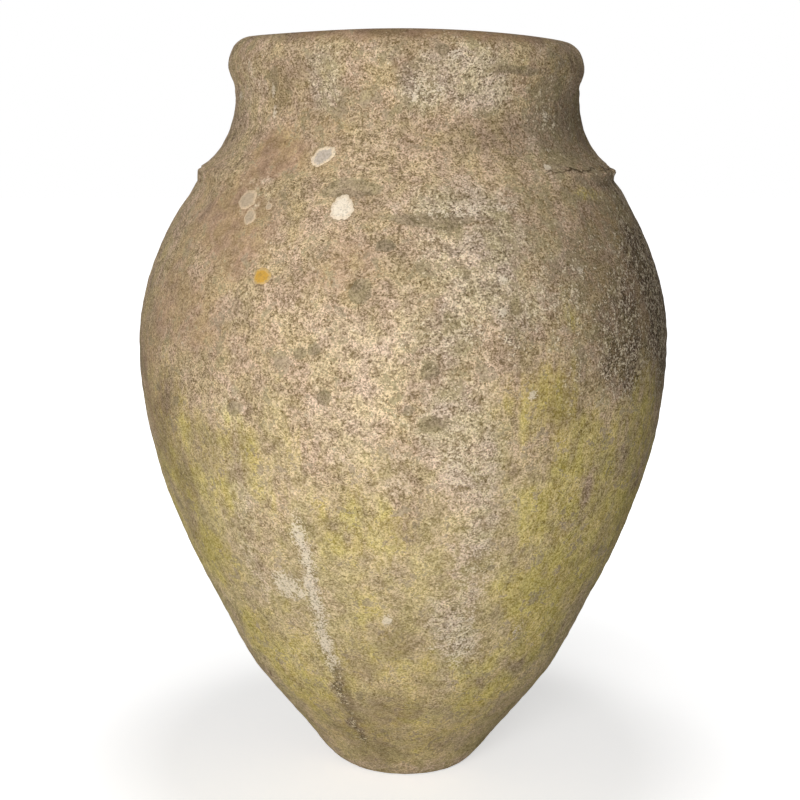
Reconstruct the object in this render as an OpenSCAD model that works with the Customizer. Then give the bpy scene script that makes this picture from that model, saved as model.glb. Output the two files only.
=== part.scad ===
// Large olive jar of coarse unglazed clay, built up by hand in sections that are luted together.
// Millimetres. The origin is the middle of the underside, and +Z points up out of the mouth.
// The jar is round about Z. Each piece is the revolve of its own cut through the wall.

/* [Foot] */
// Radius of the flat underside
underside_r = 80; // [72:1:86]
// Radius of the worn edge round the underside
worn_edge = 8; // [5:1:10]
// Lean of the wall where it leaves the worn edge, in degrees from upright
foot_lean = 58; // [50:1:62]
// Thickness of the slab that closes the bottom
slab_thick = 30; // [26:1:34]
// Outer radius at the top of the slab
slab_r = 111; // [106:1:116]
// Lean of the wall at the top of the slab, in degrees from upright
slab_lean = 35; // [30:1:40]

/* [Lower wall] */
// Height of the joint on top of the foot section
foot_top_z = 126; // [115:1:140]
// Outer radius at that joint
foot_top_r = 184; // [176:1:192]
// Lean of the wall at that joint, in degrees from upright
foot_top_lean = 36; // [30:1:42]
// Height of the joint on top of the lower section
lower_top_z = 235; // [220:1:260]
// Outer radius at that joint
lower_top_r = 241; // [232:1:250]
// Lean of the wall at that joint, in degrees from upright
lower_top_lean = 27; // [22:1:32]

/* [Belly and shoulder] */
// Height of the widest part of the belly, where its upper section ends
belly_z = 535; // [500:1:560]
// Outer radius at the widest part of the belly
belly_r = 321; // [300:1:340]
// Part of the way up the belly's curve, from 0 to 1, where its lower section ends
belly_split = 0.5; // [0.4:0.05:0.6]
// Height of the joint on top of the shoulder section
shoulder_top_z = 731; // [715:1:734]
// Outer radius at that joint
shoulder_top_r = 250; // [245:1:258]
// Inward lean of the wall at that joint, in degrees from upright
shoulder_lean = 35; // [30:1:40]

/* [Luted band] */
// Height of the band of clay that seals the neck to the shoulder
band_h = 14; // [12:1:16]
// Depth of the band into the joint, measured along the joint
band_depth = 9; // [6:1:11]
// Radius of the band's worn outer edge
band_edge = 4; // [2:0.5:5]

/* [Neck and rim] */
// Height of the neck's foot above the top of the band
neck_rise = 3; // [1:0.5:5]
// Distance of the neck's foot in from the band's rounded edge
neck_inset = 1; // [0.5:0.5:3]
// Inward lean of the neck's foot, in degrees from upright
neck_foot_lean = 62; // [55:1:65]
// Height of the narrowest part of the neck
waist_z = 827; // [815:1:832]
// Outer radius of the narrowest part of the neck
waist_r = 205; // [202:1:208]
// Height of the crease under the rim roll
crease_z = 846; // [842:1:850]
// Outer radius at that crease
crease_r = 206; // [203:1:209]
// Radius of the straight inner wall of the mouth
mouth_r = 178; // [174:1:180]
// Height where the straight inner wall of the mouth starts
mouth_foot_z = 800; // [795:1:805]
// Height where the inner wall starts to round over into the lip
mouth_top_z = 875; // [870:1:878]
// Height of the widest part of the rim roll
roll_z = 860; // [856:1:864]
// Outer radius of the rim roll
roll_r = 211.5; // [210:0.5:214]
// Overall height, to the crest of the lip
jar_h = 895; // [890:1:900]
// Radius of the crest of the lip
crest_r = 184; // [182:1:188]

/* [Making] */
// Thickness of the wall at the top of the slab
wall_slab = 38; // [34:1:42]
// Thickness of the wall at the joint on the foot section
wall_foot_top = 32; // [28:1:36]
// Thickness of the wall at the joint on the lower section
wall_lower_top = 29; // [25:1:33]
// Thickness of the wall at the belly
wall_belly = 26; // [22:1:30]
// Thickness of the wall at the joint on the shoulder section
wall_shoulder_top = 25; // [22:1:27]
// Height of the ridge along each joint, which the next section is pressed over
joint_ridge = 5; // [3:1:7]
// Width of the coil of clay pressed into the corner above the slab
coil_w = 26; // [20:1:30]
// Straight steps along each curved stretch of wall
steps = 20; // [12:1:28]

/* [Hidden] */
round_steps = 180;
edge_steps = 6;
clay = [0.60, 0.50, 0.36];
pale_clay = [0.66, 0.57, 0.43];
dark_clay = [0.47, 0.39, 0.28];
mossy_clay = [0.52, 0.48, 0.28];

// A knot is [outer radius, height, lean in degrees, outward going up, wall thickness].
foot_knot = [
    underside_r + worn_edge * cos(foot_lean), worn_edge * (1 - sin(foot_lean)), foot_lean, wall_slab
];
slab_knot = [slab_r, slab_thick, slab_lean, wall_slab];
foot_top_knot = [foot_top_r, foot_top_z, foot_top_lean, wall_foot_top];
lower_top_knot = [lower_top_r, lower_top_z, lower_top_lean, wall_lower_top];
belly_knot = [belly_r, belly_z, 0, wall_belly];
shoulder_knot = [shoulder_top_r, shoulder_top_z, -shoulder_lean, wall_shoulder_top];
neck_foot_r = shoulder_top_r - band_edge - neck_inset;
neck_foot_z = shoulder_top_z + band_h + neck_rise;
neck_foot_knot = [neck_foot_r, neck_foot_z, -neck_foot_lean, 0];
waist_knot = [waist_r, waist_z, 0, 0];

// Place of a knot in the cut, its direction up the wall, and the direction into the wall
function place(k) = [k[0], k[1]];
function up(k) = [sin(k[2]), cos(k[2])];
function into(k) = [-cos(k[2]), sin(k[2])];

// Cubic curve that leaves knot a and reaches knot b along their leans
function handle(a, b) = norm(place(b) - place(a)) / 3;
function leave(a, b) = place(a) + handle(a, b) * up(a);
function reach(a, b) = place(b) - handle(a, b) * up(b);
function along(a, b, t) =
    pow(1 - t, 3) * place(a)
    + 3 * t * pow(1 - t, 2) * leave(a, b)
    + 3 * t * t * (1 - t) * reach(a, b)
    + pow(t, 3) * place(b);

// Direction of that curve, and the point at the wall's thickness behind it
function slope(a, b, t) =
    pow(1 - t, 2) * (leave(a, b) - place(a))
    + 2 * t * (1 - t) * (reach(a, b) - leave(a, b))
    + t * t * (place(b) - reach(a, b));
function behind(a, b, t) =
    let (s = slope(a, b, t), wall = a[3] + t * (b[3] - a[3]))
    along(a, b, t) + wall * [-s.y, s.x] / norm(s);

// The wall's faces over part of that curve: the outer one runs up and the inner one down
function outer_face(a, b, from = 0, to = 1) =
    [for (i = [0 : steps]) along(a, b, from + (to - from) * i / steps)];
function inner_face(a, b, from = 0, to = 1) =
    [for (i = [steps : -1 : 0]) behind(a, b, from + (to - from) * i / steps)];

// Crest of the ridge along the middle of a joint, and the joint's inner end at a knot
function ridge(a, b, t) =
    let (s = slope(a, b, t))
    (along(a, b, t) + behind(a, b, t)) / 2 + joint_ridge * s / norm(s);
function inner_end(k) = place(k) + k[3] * into(k);

// Points on an arc round c, from one angle to another
function arc(c, r, from, to) =
    [for (i = [0 : edge_steps]) let (a = from + (to - from) * i / edge_steps) c + r * [cos(a), sin(a)]];

module turned(outline) {
    rotate_extrude($fn = round_steps) polygon(outline);
}

// The inner face of the neck runs from the shoulder's inner edge to the straight wall of the mouth
neck_inner_knot = [inner_end(shoulder_knot).x, inner_end(shoulder_knot).y, -neck_foot_lean, 0];
mouth_foot_knot = [mouth_r, mouth_foot_z, 0, 0];
band_root = place(shoulder_knot) + band_depth * into(shoulder_knot);

// Inner foot of the wall, where it stands on the slab
slab_inner_r = slab_r - wall_slab;
wall_foot_inner = [slab_inner_r, slab_thick];

module base_slab() {
    color(dark_clay)
        turned(concat(
            [[0, 0]],
            arc([underside_r, worn_edge], worn_edge, -90, -foot_lean),
            outer_face(foot_knot, slab_knot),
            [[0, slab_thick]]
        ));
}

// A coil thumbed hollow into the corner between the slab and the wall.
// Its face is a quadratic curve from the wall to the slab, pulled part of the way to the corner.
module corner_coil() {
    wall_rise = inner_end(foot_top_knot) - wall_foot_inner;
    on_wall = wall_foot_inner + coil_w * wall_rise / norm(wall_rise);
    on_slab = wall_foot_inner - [coil_w, 0];
    pull = (on_wall + on_slab) / 4 + wall_foot_inner / 2;
    face = [for (i = [0 : edge_steps]) let (t = i / edge_steps)
        pow(1 - t, 2) * on_wall + 2 * t * (1 - t) * pull + t * t * on_slab];
    color(pale_clay)
        turned(concat([wall_foot_inner], face));
}

// The foot section stands flat on the slab, and its inner face is straight
module foot_section() {
    color(clay)
        turned(concat(
            outer_face(slab_knot, foot_top_knot),
            [ridge(slab_knot, foot_top_knot, 1), inner_end(foot_top_knot), wall_foot_inner]
        ));
}

// A section of wall between two joints
module wall_section(a, b, from = 0, to = 1) {
    turned(concat(
        outer_face(a, b, from, to),
        [ridge(a, b, to)],
        inner_face(a, b, from, to),
        [ridge(a, b, from)]
    ));
}

module lower_section() {
    color(mossy_clay) wall_section(foot_top_knot, lower_top_knot);
}

module lower_belly_section() {
    color(clay) wall_section(lower_top_knot, belly_knot, 0, belly_split);
}

module upper_belly_section() {
    color(pale_clay) wall_section(lower_top_knot, belly_knot, belly_split, 1);
}

// The shoulder section's top edge is plain, because the neck and the band both stand on it
module shoulder_section() {
    color(clay)
        turned(concat(
            outer_face(belly_knot, shoulder_knot),
            inner_face(belly_knot, shoulder_knot),
            [ridge(belly_knot, shoulder_knot, 0)]
        ));
}

// The band fills the angle between the shoulder's edge and the foot of the neck
module luted_band() {
    edge_middle = place(shoulder_knot) + [-band_edge, band_h - band_edge];
    color(dark_clay)
        turned(concat(
            [place(shoulder_knot)],
            arc(edge_middle, band_edge, 0, 90),
            [place(neck_foot_knot), band_root]
        ));
}

module neck_section() {
    color(mossy_clay)
        turned(concat(
            [band_root],
            outer_face(neck_foot_knot, waist_knot),
            [[crease_r, crease_z], [mouth_r, crease_z]],
            [for (i = [steps : -1 : 0]) along(neck_inner_knot, mouth_foot_knot, i / steps)]
        ));
}

// The rim is rolled over outward: a quarter ellipse to the crest outside, and a small one inside
module rim_roll() {
    outside = [for (a = [0 : 90 / steps : 90])
        [crest_r + (roll_r - crest_r) * cos(a), roll_z + (jar_h - roll_z) * sin(a)]];
    inside = [for (a = [90 / edge_steps : 90 / edge_steps : 90])
        [crest_r - (crest_r - mouth_r) * sin(a), mouth_top_z + (jar_h - mouth_top_z) * cos(a)]];
    under = [for (a = [90 / edge_steps : 90 / edge_steps : 90 - 90 / edge_steps])
        [crease_r + (roll_r - crease_r) * sin(a), roll_z - (roll_z - crease_z) * cos(a)]];
    color(pale_clay)
        turned(concat([[mouth_r, crease_z], [crease_r, crease_z]], under, outside, inside));
}

base_slab();
corner_coil();
foot_section();
lower_section();
lower_belly_section();
upper_belly_section();
shoulder_section();
luted_band();
neck_section();
rim_roll();
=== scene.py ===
import math
from collections import namedtuple

import bpy
import numpy as np
from bpy.props import FloatProperty, FloatVectorProperty, IntProperty, PointerProperty
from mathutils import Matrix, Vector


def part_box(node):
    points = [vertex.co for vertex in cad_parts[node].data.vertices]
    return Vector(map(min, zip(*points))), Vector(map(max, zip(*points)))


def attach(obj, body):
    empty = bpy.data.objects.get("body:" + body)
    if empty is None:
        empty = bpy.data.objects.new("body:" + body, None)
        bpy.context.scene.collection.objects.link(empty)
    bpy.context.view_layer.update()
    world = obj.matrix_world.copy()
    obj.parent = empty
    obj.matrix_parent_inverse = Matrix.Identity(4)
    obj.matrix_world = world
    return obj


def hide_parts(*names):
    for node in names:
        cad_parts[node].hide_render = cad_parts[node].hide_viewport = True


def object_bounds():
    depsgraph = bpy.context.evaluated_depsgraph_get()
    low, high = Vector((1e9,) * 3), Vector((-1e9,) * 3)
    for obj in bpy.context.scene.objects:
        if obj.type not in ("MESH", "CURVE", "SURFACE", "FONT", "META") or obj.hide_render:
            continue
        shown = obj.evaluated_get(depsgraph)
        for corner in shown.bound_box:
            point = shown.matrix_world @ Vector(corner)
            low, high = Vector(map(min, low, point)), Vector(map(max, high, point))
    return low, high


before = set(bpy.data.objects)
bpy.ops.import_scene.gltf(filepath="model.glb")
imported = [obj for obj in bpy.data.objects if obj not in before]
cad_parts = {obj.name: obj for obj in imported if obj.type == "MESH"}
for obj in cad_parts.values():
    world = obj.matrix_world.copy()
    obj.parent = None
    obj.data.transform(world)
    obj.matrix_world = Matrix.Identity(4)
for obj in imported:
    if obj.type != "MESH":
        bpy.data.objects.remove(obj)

bl_info = {
    "name": "Olive jar",
    "version": (1, 0, 0),
    "blender": (4, 5, 0),
    "location": "3D View > Sidebar > Olive jar",
    "description": "Builds the weathered skin of a large hand-built olive jar over its CAD frame",
    "category": "Object",
}

# Azimuths run round the jar from the front (-Y) towards +X. Lengths are metres, leans and azimuths degrees.
CAD_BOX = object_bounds()
JAR_HEIGHT = float(CAD_BOX[1][2] - CAD_BOX[0][2])
BELLY_RADIUS = float(CAD_BOX[1][0] - CAD_BOX[0][0]) / 2
RIM_RADIUS = float(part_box("rim_roll")[1][0])
UNDERSIDE_RADIUS = 0.080
WORN_EDGE = 0.008

# The cut through the wall, as in the CAD: a knot is outer radius, height, outward lean going up, wall.
Knot = namedtuple("Knot", "radius height lean wall")
FOOT = Knot(
    UNDERSIDE_RADIUS + WORN_EDGE * math.cos(math.radians(58)),
    WORN_EDGE * (1 - math.sin(math.radians(58))), 58, 0.038)
SLAB = Knot(0.111, 0.030, 35, 0.038)
FOOT_TOP = Knot(0.184, 0.126, 36, 0.032)
LOWER_TOP = Knot(0.241, 0.235, 27, 0.029)
BELLY = Knot(BELLY_RADIUS, 0.535, 0, 0.026)
SHOULDER = Knot(0.250, 0.731, -35, 0.025)
NECK_FOOT = Knot(0.245, 0.748, -62, 0)
WAIST = Knot(0.205, 0.827, 0, 0)
MOUTH_FOOT = Knot(0.178, 0.800, 0, 0)
CREASE = (0.206, 0.846)
ROLL_HEIGHT = 0.860
CREST = (0.184, JAR_HEIGHT)
MOUTH_TOP = 0.875
JOINT_RIDGE = 0.005
BELLY_SPLIT = 0.5
BAND_HEIGHT = 0.014
BAND_DEPTH = 0.009
BAND_EDGE = 0.004
COIL_WIDTH = 0.026
BAND_CORNER = SHOULDER.height + BAND_HEIGHT - BAND_EDGE

# Blots of growth and wear, read off the photo.
# Each is azimuth, height, half width round the jar, half height, strength.
BLOTS = {
    "crust": (
        (-2, 0.560, 0.085, 0.085, 0.9), (10, 0.650, 0.060, 0.060, 0.6), (-10, 0.500, 0.060, 0.060, 0.9),
        (6, 0.450, 0.055, 0.045, 0.7), (9, 0.825, 0.070, 0.040, 0.4), (14, 0.290, 0.026, 0.090, 0.6),
        (12, 0.410, 0.032, 0.070, 0.7), (-20, 0.590, 0.060, 0.070, 0.45), (13, 0.530, 0.040, 0.050, 0.6),
        (-24, 0.420, 0.050, 0.060, 0.3), (-8, 0.790, 0.050, 0.060, 0.4), (-28, 0.520, 0.040, 0.050, 0.3),
        (-39, 0.740, 0.020, 0.020, 0.5), (-30, 0.690, 0.020, 0.030, 0.5), (-38, 0.330, 0.020, 0.080, 0.4),
        (6, 0.545, 0.030, 0.025, 0.9), (13, 0.455, 0.030, 0.040, 0.8), (14, 0.640, 0.045, 0.030, 0.6),
        (0, 0.012, 0.140, 0.020, 0.8), (11, 0.714, 0.050, 0.020, 0.6), (4, 0.832, 0.035, 0.030, 0.6),
    ),
    "algae": (
        (30, 0.510, 0.045, 0.035, 0.6), (40, 0.450, 0.090, 0.060, 0.8), (38, 0.370, 0.080, 0.070, 0.9),
        (36, 0.290, 0.070, 0.070, 1.0), (42, 0.210, 0.060, 0.060, 1.0), (30, 0.140, 0.050, 0.050, 0.8),
        (60, 0.460, 0.060, 0.060, 0.8), (66, 0.340, 0.090, 0.090, 0.9), (34, 0.600, 0.016, 0.030, 0.6),
        (-54, 0.480, 0.060, 0.050, 0.5), (-60, 0.400, 0.070, 0.060, 0.7), (-54, 0.300, 0.055, 0.060, 0.8),
        (-48, 0.210, 0.055, 0.060, 0.9), (-38, 0.140, 0.050, 0.050, 0.8), (-18, 0.090, 0.060, 0.040, 0.6),
        (-14, 0.370, 0.055, 0.050, 0.7), (-2, 0.340, 0.035, 0.060, 0.5), (-20, 0.470, 0.020, 0.050, 0.4),
        (0, 0.210, 0.050, 0.050, 0.4), (12, 0.090, 0.060, 0.050, 0.5), (-75, 0.300, 0.100, 0.090, 0.7),
        (-44, 0.400, 0.045, 0.060, 0.6), (-20, 0.190, 0.030, 0.050, 0.7), (-8, 0.240, 0.025, 0.060, 0.5),
        (-34, 0.460, 0.040, 0.050, 0.5), (-27, 0.400, 0.035, 0.050, 0.4), (30, 0.470, 0.040, 0.040, 0.5),
        (34, 0.540, 0.030, 0.030, 0.4), (48, 0.400, 0.050, 0.070, 0.8), (52, 0.290, 0.050, 0.070, 0.8),
        (50, 0.722, 0.035, 0.013, 0.8), (24, 0.180, 0.040, 0.050, 0.7), (28, 0.500, 0.045, 0.060, 0.7),
        (50, 0.470, 0.050, 0.050, 0.6), (58, 0.490, 0.050, 0.050, 0.6), (-32, 0.200, 0.040, 0.060, 0.6),
    ),
    # Soot stains on the right side, and painted shade where the right side of the jar turns away from the light.
    "soot": (
        (50, 0.580, 0.110, 0.090, 0.9), (46, 0.660, 0.080, 0.055, 0.6), (36, 0.614, 0.045, 0.040, 0.4),
        (21, 0.568, 0.028, 0.026, 0.5), (13, 0.590, 0.018, 0.017, 0.4), (72, 0.620, 0.110, 0.130, 1.1),
        (75, 0.520, 0.090, 0.060, 1.0), (58, 0.840, 0.060, 0.060, 0.3), (66, 0.780, 0.080, 0.060, 0.6),
        (46, 0.790, 0.050, 0.040, 0.6), (62, 0.710, 0.060, 0.050, 0.5), (36, 0.545, 0.040, 0.030, 0.4),
        (52, 0.550, 0.040, 0.045, 0.9),
    ),
    "rust": (
        (-46, 0.700, 0.090, 0.070, 0.9), (-54, 0.600, 0.090, 0.080, 0.7), (-44, 0.770, 0.060, 0.030, 1.0),
        (-62, 0.870, 0.045, 0.030, 0.5), (-26, 0.790, 0.040, 0.050, 0.5), (-12, 0.660, 0.060, 0.050, 0.5),
        (-66, 0.480, 0.060, 0.080, 0.6), (28, 0.520, 0.040, 0.030, 0.7), (55, 0.700, 0.070, 0.030, 0.6),
        # The blot at azimuth 0 and height 0.893 browns the band along the top of the rim, which the grime layer
        # darkens as painted shade.
        (63, 0.440, 0.030, 0.060, 0.7), (0, 0.893, 0.200, 0.012, 0.8), (-30, 0.560, 0.050, 0.060, 0.3),
        (0, 0.030, 0.120, 0.040, 0.5), (40, 0.630, 0.040, 0.030, 0.4), (-33, 0.700, 0.050, 0.050, 0.6),
    ),
    "chalk": (
        (-70, 0.830, 0.022, 0.006, 0.4), (6, 0.835, 0.024, 0.014, 0.25), (12, 0.442, 0.024, 0.030, 0.15),
        (16, 0.320, 0.020, 0.055, 0.12), (16, 0.718, 0.070, 0.007, 0.35), (-30, 0.292, 0.019, 0.017, 0.75),
        (20, 0.642, 0.005, 0.004, 1.0), (19, 0.607, 0.004, 0.004, 1.0), (25, 0.519, 0.005, 0.005, 1.0),
        (-47, 0.834, 0.003, 0.007, 1.0), (-46, 0.812, 0.003, 0.007, 0.7), (2, 0.828, 0.004, 0.004, 0.9),
        (41, 0.753, 0.006, 0.003, 0.8), (50, 0.600, 0.008, 0.010, 0.4), (33, 0.230, 0.008, 0.014, 0.3),
        (14, 0.868, 0.006, 0.005, 0.6), (47, 0.805, 0.004, 0.006, 0.6), (44, 0.771, 0.005, 0.003, 0.6),
        (39, 0.645, 0.006, 0.004, 0.7), (31, 0.630, 0.004, 0.004, 0.6), (-26, 0.282, 0.006, 0.005, 0.8),
        (15, 0.230, 0.026, 0.050, 0.3), (-4, 0.258, 0.004, 0.006, 0.9), (8, 0.218, 0.010, 0.004, 0.7),
    ),
    "olive": (
        (52, 0.810, 0.080, 0.080, 0.16), (58, 0.720, 0.090, 0.060, 0.14), (30, 0.700, 0.060, 0.050, 0.10),
        (-12, 0.830, 0.080, 0.040, 0.08), (40, 0.620, 0.060, 0.080, 0.10), (10, 0.560, 0.060, 0.050, 0.08),
        (5, 0.710, 0.040, 0.008, 0.9), (-14, 0.737, 0.034, 0.008, 0.8), (34, 0.855, 0.038, 0.007, 0.7),
        (-9, 0.630, 0.010, 0.009, 1.0), (5, 0.493, 0.013, 0.008, 1.0), (1, 0.508, 0.006, 0.006, 0.9),
        (5, 0.550, 0.010, 0.009, 0.7), (-17, 0.570, 0.006, 0.005, 0.9), (-20, 0.565, 0.006, 0.005, 0.9),
        (-15, 0.520, 0.006, 0.006, 0.9), (-35, 0.500, 0.010, 0.009, 0.7), (-4, 0.681, 0.010, 0.007, 0.9),
        (3, 0.659, 0.005, 0.005, 0.9), (12, 0.650, 0.005, 0.005, 0.8), (22, 0.611, 0.007, 0.006, 0.9),
        (20, 0.322, 0.006, 0.005, 0.8), (-9, 0.826, 0.005, 0.004, 1.0), (11, 0.873, 0.010, 0.007, 0.6),
    ),
    "ochre": (
        (-33, 0.852, 0.045, 0.022, 0.5), (15, 0.792, 0.035, 0.024, 0.4), (26, 0.870, 0.040, 0.014, 0.4),
        (68, 0.380, 0.050, 0.060, 0.6), (40, 0.855, 0.040, 0.020, 0.5), (2, 0.800, 0.040, 0.020, 0.4),
        (-22, 0.790, 0.030, 0.020, 0.4), (33, 0.640, 0.040, 0.030, 0.4), (0, 0.100, 0.300, 0.100, 0.6),
        (-60, 0.470, 0.060, 0.090, 0.6), (-50, 0.440, 0.050, 0.060, 0.5), (-36, 0.820, 0.045, 0.050, 0.5),
        (-72, 0.545, 0.040, 0.040, 0.5), (-40, 0.140, 0.050, 0.050, 0.8), (-10, 0.300, 0.020, 0.060, 0.5),
        (-33, 0.715, 0.050, 0.040, 0.4), (27, 0.780, 0.050, 0.030, 0.5), (60, 0.770, 0.060, 0.040, 0.7),
        (52, 0.870, 0.040, 0.030, 0.6), (24, 0.520, 0.060, 0.060, 0.6), (-72, 0.610, 0.050, 0.070, 0.6),
        (-4, 0.150, 0.110, 0.060, 0.6), (62, 0.690, 0.060, 0.050, 0.6), (30, 0.560, 0.050, 0.040, 0.5),
    ),
    # Grime, and at azimuth 0 and heights 0.884 and 0.893 a band of painted shade along the top of the rim across the
    # front.
    "grime": (
        (3, 0.370, 0.050, 0.025, 0.5), (24, 0.545, 0.050, 0.040, 0.3), (30, 0.500, 0.040, 0.030, 0.6),
        (-1, 0.862, 0.020, 0.030, 0.8), (-43, 0.838, 0.025, 0.035, 0.7), (-36, 0.452, 0.030, 0.030, 0.6),
        (0, 0.893, 0.240, 0.012, 0.8), (75, 0.800, 0.080, 0.060, 0.5), (-20, 0.120, 0.010, 0.070, 0.9),
        (5, 0.060, 0.070, 0.040, 0.4), (62, 0.860, 0.060, 0.035, 0.4), (-12, 0.190, 0.030, 0.050, 0.6),
        (0, 0.884, 0.060, 0.020, 0.6), (-46, 0.850, 0.050, 0.040, 0.4), (8, 0.180, 0.030, 0.050, 0.4),
        (-72, 0.535, 0.070, 0.070, 0.6), (-60, 0.430, 0.060, 0.100, 0.8), (-52, 0.330, 0.050, 0.050, 0.5),
        (-2, 0.218, 0.028, 0.040, 0.7), (-8, 0.125, 0.060, 0.050, 0.6), (2, 0.785, 0.045, 0.020, 0.5),
        (6, 0.602, 0.022, 0.018, 0.6), (22, 0.590, 0.030, 0.040, 0.5),
        (-56, 0.500, 0.040, 0.040, 0.6), (-44, 0.455, 0.050, 0.050, 0.6), (-22, 0.635, 0.040, 0.030, 0.5),
        (-12, 0.720, 0.030, 0.020, 0.5), (-34, 0.840, 0.040, 0.050, 0.4), (-33, 0.720, 0.040, 0.040, 0.4),
        (4, 0.862, 0.050, 0.030, 0.4), (26, 0.790, 0.045, 0.030, 0.6), (-14, 0.060, 0.060, 0.060, 0.6),
        (42, 0.640, 0.070, 0.090, 0.5), (56, 0.600, 0.080, 0.100, 0.6),
    ),
    "grey": (
        (14, 0.650, 0.100, 0.090, 0.9), (20, 0.845, 0.085, 0.045, 0.9), (12, 0.722, 0.090, 0.030, 0.9),
        (8, 0.590, 0.070, 0.055, 0.7), (30, 0.640, 0.060, 0.070, 0.6), (8, 0.500, 0.050, 0.060, 0.7),
        (14, 0.440, 0.045, 0.055, 0.8), (16, 0.350, 0.032, 0.070, 0.7), (16, 0.260, 0.034, 0.070, 0.6),
        (0, 0.430, 0.030, 0.060, 0.5), (-35, 0.480, 0.022, 0.050, 0.5), (-36, 0.400, 0.020, 0.070, 0.6),
        (-38, 0.310, 0.020, 0.060, 0.6), (45, 0.790, 0.050, 0.060, 0.6), (-60, 0.848, 0.036, 0.040, 0.5),
        (-5, 0.870, 0.030, 0.020, 0.5), (-22, 0.330, 0.012, 0.070, 0.7), (-40, 0.730, 0.025, 0.020, 0.5),
        (14, 0.240, 0.040, 0.060, 0.8), (16, 0.180, 0.035, 0.035, 0.7), (6, 0.110, 0.030, 0.040, 0.5),
        (5, 0.840, 0.035, 0.035, 1.0), (-26, 0.840, 0.030, 0.045, 0.9), (10, 0.620, 0.050, 0.030, 0.5),
    ),
    "damp": (
        (0, 0.250, 0.500, 0.250, 1.0), (-60, 0.300, 0.200, 0.200, 0.9), (60, 0.300, 0.200, 0.200, 0.9),
        (0, 0.080, 0.300, 0.120, 1.0),
    ),
}

# The pale drip down the left of the foot and the dark run below it: azimuth and height of points along
# them, from the top.
DRIP = ((-23, 0.385), (-22, 0.344), (-22.3, 0.278), (-22.5, 0.244), (-22.3, 0.216), (-22.5, 0.185))
DARK_RUN = ((-20.5, 0.205), (-21.6, 0.162), (-22.5, 0.118), (-21.5, 0.078), (-19.4, 0.057))

# Pits in the clay: azimuth, height, radius, depth.
PITS = (
    (-9.4, 0.826, 0.0055, 0.0035), (1.8, 0.463, 0.0045, 0.0025), (3.0, 0.659, 0.005, 0.0012),
    (12.5, 0.650, 0.005, 0.0015), (21.5, 0.611, 0.007, 0.0015), (19.9, 0.322, 0.005, 0.002),
    (-4.3, 0.681, 0.009, 0.0012), (11.2, 0.873, 0.009, 0.0015), (-130, 0.61, 0.006, 0.003),
    (160, 0.44, 0.007, 0.003), (118, 0.70, 0.005, 0.0025), (-165, 0.29, 0.006, 0.002),
)

# Lichen crusts of each colour: azimuth, height, half length, half width, tilt of the length in degrees.
LICHENS = {
    "grey_lichen": ((-24.2, 0.771, 0.0146, 0.0082, 16), (128, 0.690, 0.012, 0.010, 60)),
    "beige_lichen": (
        (-43.2, 0.722, 0.0122, 0.0106, 20), (-40.0, 0.706, 0.0086, 0.0078, 0), (-35.6, 0.721, 0.0042, 0.0040, 0),
        (-140, 0.640, 0.010, 0.008, 10), (95, 0.745, 0.009, 0.008, 30)),
    "cream_lichen": ((-15.2, 0.717, 0.0134, 0.0126, 10), (172, 0.730, 0.009, 0.008, 0)),
    "orange_lichen": ((-30.8, 0.644, 0.0112, 0.0100, 0), (150, 0.600, 0.007, 0.006, 40)),
}


class JarShape(bpy.types.PropertyGroup):
    """How far the hand-built jar strays from a turned one."""

    wave_height: FloatProperty(
        name="Waves", description="Height of the slow waves in the wall", default=0.0015, subtype="DISTANCE")
    grit_height: FloatProperty(
        name="Grit", description="Height of the coarse grain of the clay", default=0.0004, subtype="DISTANCE")
    seam_sag: FloatProperty(
        name="Seam sag", description="How far the band dips across the front", default=0.010, subtype="DISTANCE")
    rim_rise: FloatProperty(
        name="Rim rise", description="How far the rim stands up at the front", default=0.0045, subtype="DISTANCE")
    cells_round: IntProperty(
        name="Cells round", description="Grid cells round the jar", default=720, min=90, max=900)
    cell_height: FloatProperty(
        name="Cell height", description="Height of a grid cell on the outside", default=0.0026,
        subtype="DISTANCE")


def tone(label, red, green, blue):
    """A colour setting whose default is given in the 0 to 255 steps that a screen shows."""
    screen = np.array([red, green, blue]) / 255
    linear = np.where(screen > 0.04045, ((screen + 0.055) / 1.055) ** 2.4, screen / 12.92)
    return FloatVectorProperty(
        name=label.capitalize(), description="Colour of the " + label, subtype="COLOR", size=3, min=0, max=1,
        default=tuple(float(part) for part in linear))


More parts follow.
